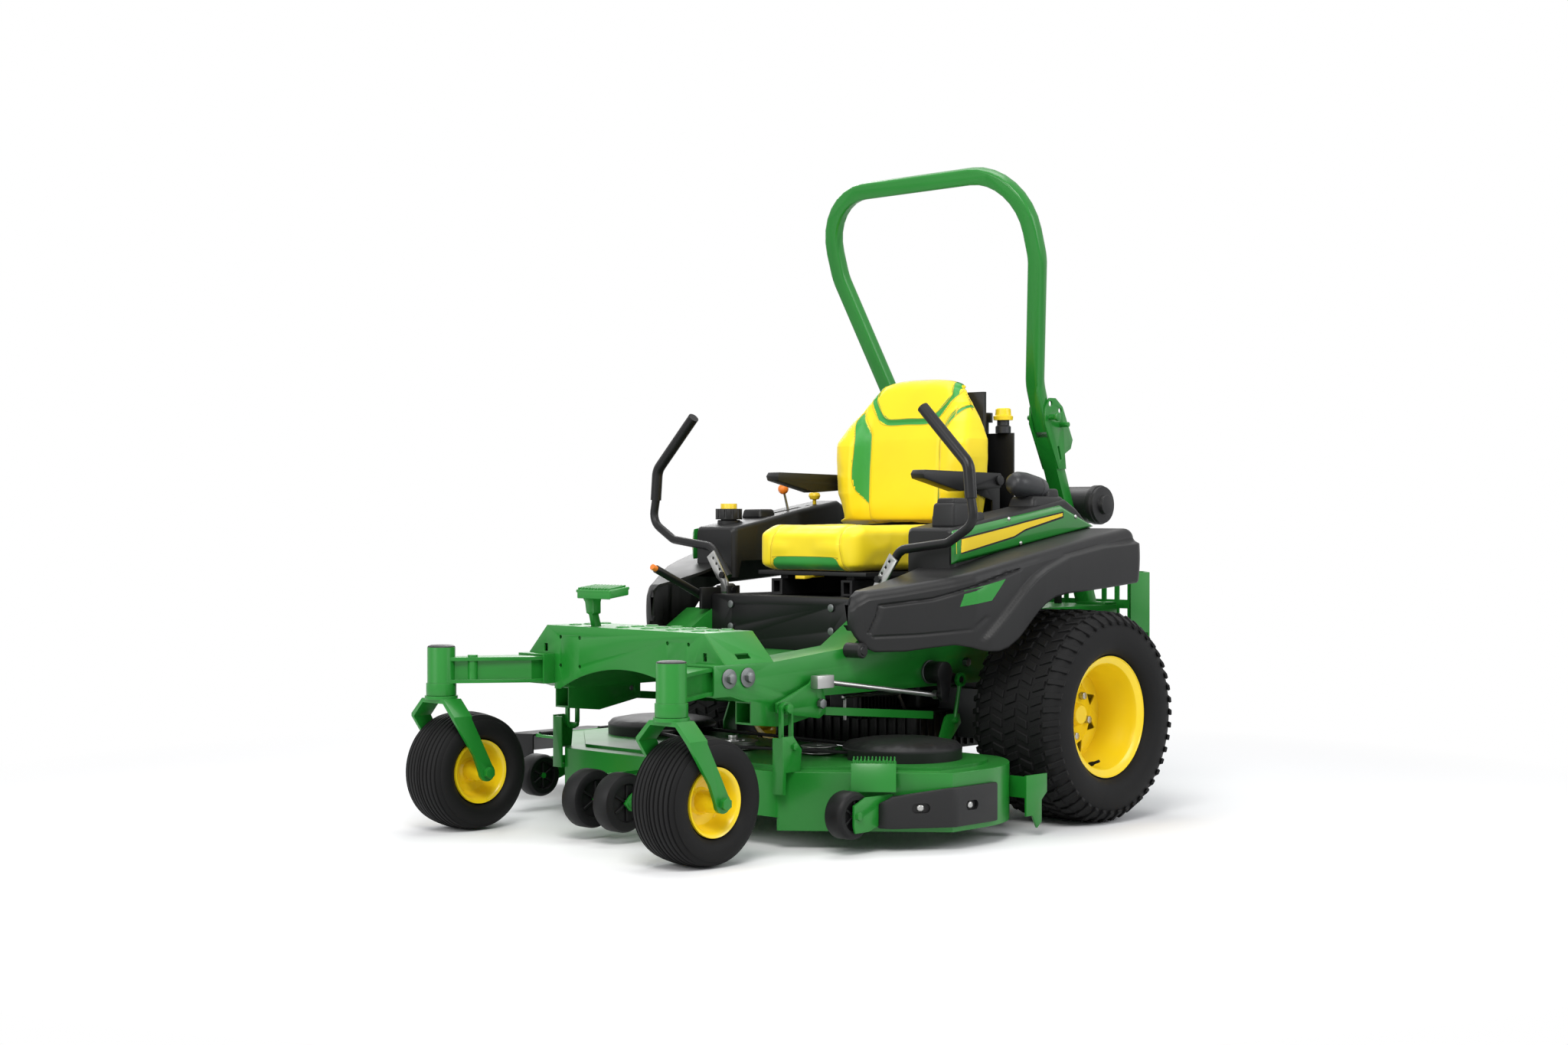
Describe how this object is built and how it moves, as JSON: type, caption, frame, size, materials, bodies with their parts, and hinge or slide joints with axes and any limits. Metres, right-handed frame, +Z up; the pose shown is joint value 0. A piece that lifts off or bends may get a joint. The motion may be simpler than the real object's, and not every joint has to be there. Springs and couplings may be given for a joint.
{
  "type": "zero turn mower",
  "caption": "Ride-on zero turn mower with rear engine, twin steering levers, folding hoop, caster front wheels and a belly mowing deck with side discharge.",
  "frame": {"origin": "on the ground under the middle of the whole machine's box", "axes": "+X to the mower's left, +Y to its rear, +Z up"},
  "size_m": [1.851, 2.108, 1.9475],
  "materials": {
    "green_paint": "gloss powder coat",
    "black_plastic": "moulded, fine grain",
    "black_paint": "satin powder coat",
    "yellow_paint": "gloss",
    "yellow_vinyl": "soft vinyl seat cover",
    "zinc": "zinc plated",
    "cast_metal": "as cast",
    "tyre_rubber": "rubber tread",
    "soft_rubber": "matt rubber",
    "green_panel": "gloss moulding",
    "orange_plastic": "satin moulding",
    "yellow_plastic": "satin moulding"
  },
  "bodies": {
    "chassis": {"main_frame": "green_paint", "front_plate": "green_paint", "foot_deck": "green_paint", "caster_arms": "green_paint", "kick_panel": "black_paint", "frame_bolts": "zinc", "seat_base": "black_paint", "fender_left": "black_plastic", "fender_right": "black_plastic", "side_panels": "green_panel", "rops_posts": "green_paint", "rear_shield": "black_paint", "engine_block": "cast_metal", "engine_shroud": "black_plastic", "air_cleaner": "black_plastic", "transaxles": "cast_metal", "rear_guard": "green_paint"},
    "caster_left": {"caster_fork_left": "green_paint"},
    "caster_wheel_left": {"caster_tyre_left": "tyre_rubber", "caster_rim_left": "yellow_paint"},
    "drive_wheel_left": {"drive_tyre_left": "tyre_rubber", "drive_rim_left": "yellow_paint"},
    "lever_base_left": {"control_plate_left": "zinc"},
    "lever_arm_left": {"lever_left": "black_paint"},
    "armrest_body_left": {"armrest_left": "black_plastic"},
    "caster_right": {"caster_fork_right": "green_paint"},
    "caster_wheel_right": {"caster_tyre_right": "tyre_rubber", "caster_rim_right": "yellow_paint"},
    "drive_wheel_right": {"drive_tyre_right": "tyre_rubber", "drive_rim_right": "yellow_paint"},
    "lever_base_right": {"control_plate_right": "zinc"},
    "lever_arm_right": {"lever_right": "black_paint"},
    "armrest_body_right": {"armrest_right": "black_plastic"},
    "seat": {"seat_cushion": "yellow_vinyl", "seat_back": "yellow_vinyl", "seat_shell": "black_plastic"},
    "seat_lever": {"slide_lever": "yellow_plastic"},
    "cap": {"fuel_cap": "black_plastic"},
    "throttle": {"throttle_lever": "orange_plastic"},
    "blade_switch": {"blade_knob": "yellow_plastic"},
    "brake_lever": {"height_lever": "black_paint"},
    "brake_button": {"lever_button": "orange_plastic"},
    "hoop": {"rops_hoop": "green_paint"},
    "deck": {"deck_shell": "green_paint", "deck_covers": "black_plastic", "deck_brackets": "green_paint", "side_bumper": "black_plastic", "drive_belt": "soft_rubber"},
    "blade_left": {"spindle_left": "zinc"},
    "blade_center": {"spindle_center": "zinc"},
    "blade_right": {"spindle_right": "zinc"},
    "idler": {"idler_pulley": "zinc"},
    "chute": {"discharge_chute": "soft_rubber"},
    "nose_wheels": {"nose_rollers": "soft_rubber"},
    "side_wheels": {"side_rollers": "soft_rubber"},
    "rear_wheels": {"rear_rollers": "soft_rubber"},
    "lift_crank": {"lift_shaft": "black_paint"},
    "front_crank": {"front_cranks": "green_paint"},
    "pull_rod": {"lift_rods": "zinc"},
    "pedal": {"lift_pedal": "green_paint"}
  },
  "joints": [
    {"name": "caster_swivel_left", "type": "hinge", "parent": "chassis", "child": "caster_left", "pos_m": [0.5965, -0.974, 0.44], "axis": [0, 0, 1], "continuous": true},
    {"name": "caster_spin_left", "type": "hinge", "parent": "caster_left", "child": "caster_wheel_left", "pos_m": [0.5965, -0.889, 0.165], "axis": [1, 0, 0], "continuous": true},
    {"name": "drive_spin_left", "type": "hinge", "parent": "chassis", "child": "drive_wheel_left", "pos_m": [0.7725, 0.454, 0.305], "axis": [1, 0, 0], "continuous": true},
    {"name": "lever_drive_left", "type": "hinge", "parent": "chassis", "child": "lever_base_left", "pos_m": [0.4395, -0.008, 0.655], "axis": [-1, 0, 0], "range_deg": [-18, 14]},
    {"name": "lever_swing_left", "type": "hinge", "parent": "lever_base_left", "child": "lever_arm_left", "pos_m": [0.4425, -0.008, 0.7], "axis": [0, 1, 0], "range_deg": [0, 10]},
    {"name": "caster_swivel_right", "type": "hinge", "parent": "chassis", "child": "caster_right", "pos_m": [-0.3475, -0.974, 0.44], "axis": [0, 0, 1], "continuous": true},
    {"name": "caster_spin_right", "type": "hinge", "parent": "caster_right", "child": "caster_wheel_right", "pos_m": [-0.3475, -0.889, 0.165], "axis": [1, 0, 0], "continuous": true},
    {"name": "drive_spin_right", "type": "hinge", "parent": "chassis", "child": "drive_wheel_right", "pos_m": [-0.5235, 0.454, 0.305], "axis": [1, 0, 0], "continuous": true},
    {"name": "lever_drive_right", "type": "hinge", "parent": "chassis", "child": "lever_base_right", "pos_m": [-0.1905, -0.008, 0.655], "axis": [-1, 0, 0], "range_deg": [-18, 14]},
    {"name": "lever_swing_right", "type": "hinge", "parent": "lever_base_right", "child": "lever_arm_right", "pos_m": [-0.1935, -0.008, 0.7], "axis": [0, -1, 0], "range_deg": [0, 10]},
    {"name": "seat_slide", "type": "slide", "parent": "chassis", "child": "seat", "axis": [0, 1, 0], "range_m": [-0.06, 0.03]},
    {"name": "armrest_tilt_left", "type": "hinge", "parent": "seat", "child": "armrest_body_left", "pos_m": [0.4215, 0.516, 0.988], "axis": [-1, 0, 0], "range_deg": [0, 95]},
    {"name": "armrest_tilt_right", "type": "hinge", "parent": "seat", "child": "armrest_body_right", "pos_m": [-0.1725, 0.516, 0.988], "axis": [-1, 0, 0], "range_deg": [0, 95]},
    {"name": "seat_lever_turn", "type": "hinge", "parent": "seat", "child": "seat_lever", "pos_m": [0.1295, 0.069, 0.7], "axis": [0, 0, 1], "range_deg": [-12, 0], "stiffness_Nm_per_rad": 2},
    {"name": "fuel_cap_turn", "type": "hinge", "parent": "chassis", "child": "cap", "pos_m": [-0.3375, 0.139, 0.88], "axis": [0, 0, 1], "range_deg": [0, 90]},
    {"name": "throttle_turn", "type": "hinge", "parent": "chassis", "child": "throttle", "pos_m": [-0.3175, 0.401, 0.8546], "axis": [-1, 0, 0], "range_deg": [-24, 24]},
    {"name": "blade_switch_pull", "type": "slide", "parent": "chassis", "child": "blade_switch", "axis": [0, 0, 1], "range_m": [0, 0.012]},
    {"name": "brake_lever_turn", "type": "hinge", "parent": "chassis", "child": "brake_lever", "pos_m": [-0.1895, -0.102, 0.632], "axis": [-1, 0, 0], "range_deg": [-38, 0]},
    {"name": "brake_button_press", "type": "slide", "parent": "brake_lever", "child": "brake_button", "axis": [0, 0.9135, -0.4067], "range_m": [0, 0.006], "stiffness_N_per_m": 600, "springref_m": -0.004},
    {"name": "hoop_fold", "type": "hinge", "parent": "chassis", "child": "hoop", "pos_m": [0.1245, 0.756, 1.187], "axis": [-1, 0, 0], "range_deg": [0, 100]},
    {"name": "deck_lift", "type": "slide", "parent": "chassis", "child": "deck", "axis": [0, 0, 1], "range_m": [0, 0.05]},
    {"name": "blade_spin_left", "type": "hinge", "parent": "deck", "child": "blade_left", "pos_m": [0.6145, -0.121, 0.18], "axis": [0, 0, 1], "continuous": true},
    {"name": "blade_spin_center", "type": "hinge", "parent": "deck", "child": "blade_center", "pos_m": [0.1245, -0.295, 0.18], "axis": [0, 0, 1], "continuous": true},
    {"name": "blade_spin_right", "type": "hinge", "parent": "deck", "child": "blade_right", "pos_m": [-0.3655, -0.121, 0.18], "axis": [0, 0, 1], "continuous": true},
    {"name": "idler_spin", "type": "hinge", "parent": "deck", "child": "idler", "pos_m": [0.3945, -0.223, 0.225], "axis": [0, 0, 1], "continuous": true},
    {"name": "chute_lift", "type": "hinge", "parent": "deck", "child": "chute", "pos_m": [-0.6755, -0.196, 0.201], "axis": [0, 1, 0], "range_deg": [0, 75]},
    {"name": "nose_roller_spin", "type": "hinge", "parent": "deck", "child": "nose_wheels", "pos_m": [0.1245, -0.781, 0.112], "axis": [1, 0, 0], "continuous": true},
    {"name": "side_roller_spin", "type": "hinge", "parent": "deck", "child": "side_wheels", "pos_m": [0.1245, -0.497, 0.104], "axis": [1, 0, 0], "continuous": true},
    {"name": "rear_roller_spin", "type": "hinge", "parent": "deck", "child": "rear_wheels", "pos_m": [0.1245, 0.239, 0.112], "axis": [1, 0, 0], "continuous": true},
    {"name": "lift_crank_turn", "type": "hinge", "parent": "chassis", "child": "lift_crank", "pos_m": [0.1245, 0.097, 0.434], "axis": [1, 0, 0], "range_deg": [-1, 34]},
    {"name": "front_crank_turn", "type": "hinge", "parent": "chassis", "child": "front_crank", "pos_m": [0.1245, -0.381, 0.374], "axis": [-1, 0, 0], "range_deg": [-1, 22]},
    {"name": "pull_rod_slide", "type": "slide", "parent": "chassis", "child": "pull_rod", "axis": [0, 1, 0], "range_m": [-0.002, 0.032]},
    {"name": "lift_pedal_turn", "type": "hinge", "parent": "chassis", "child": "pedal", "pos_m": [-0.0425, -0.64, 0.536], "axis": [1, 0, 0], "range_deg": [-1, 22]}
  ],
  "couplings": [
    {"joint": "lift_crank_turn", "follows": "deck_lift", "rad_per_m": 10.6},
    {"joint": "front_crank_turn", "follows": "deck_lift", "rad_per_m": 6.667},
    {"joint": "pull_rod_slide", "follows": "deck_lift", "ratio": 0.55},
    {"joint": "lift_pedal_turn", "follows": "deck_lift", "rad_per_m": 7},
    {"joint": "blade_spin_left", "follows": "blade_spin_center", "ratio": 1},
    {"joint": "blade_spin_right", "follows": "blade_spin_center", "ratio": 1},
    {"joint": "idler_spin", "follows": "blade_spin_center", "ratio": 1.3913}
  ]
}
